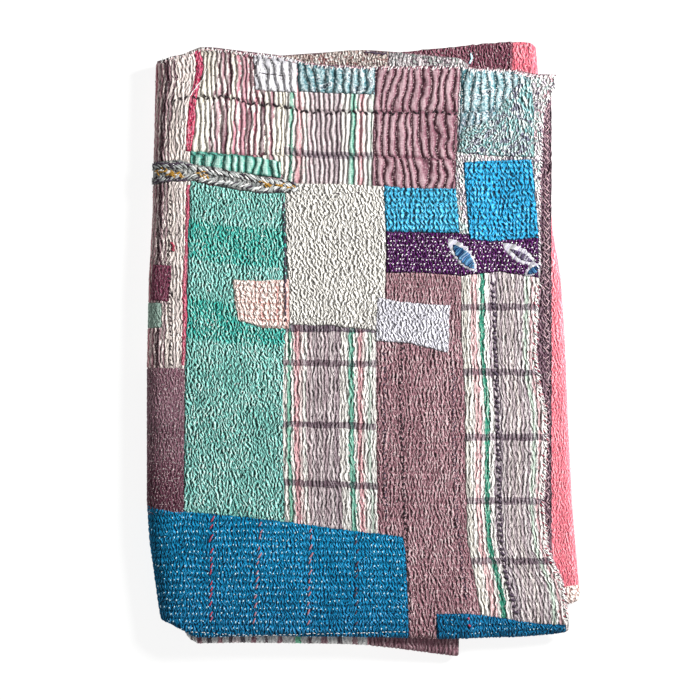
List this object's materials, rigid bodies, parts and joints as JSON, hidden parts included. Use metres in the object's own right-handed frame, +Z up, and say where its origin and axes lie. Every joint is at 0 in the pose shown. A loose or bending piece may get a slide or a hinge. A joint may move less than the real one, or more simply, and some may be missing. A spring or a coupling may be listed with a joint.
{
  "type": "kantha quilt",
  "caption": "Patchwork kantha quilt of layered washed cotton, sewn through in close running stitches and folded flat as a stack for a shelf or bed end.",
  "frame": {"origin": "middle of the folded stack where its lowest layer rests on the surface", "axes": "+X across the stack, away from its wide outer fold; +Y along the stack, from its front fold to its hems; +Z up"},
  "size_m": [0.4746, 0.6765, 0.0343],
  "materials": {
    "kantha_quilt": "matte washed cotton"
  },
  "bodies": {
    "root": {"kantha_quilt": "kantha_quilt"}
  },
  "joints": []
}
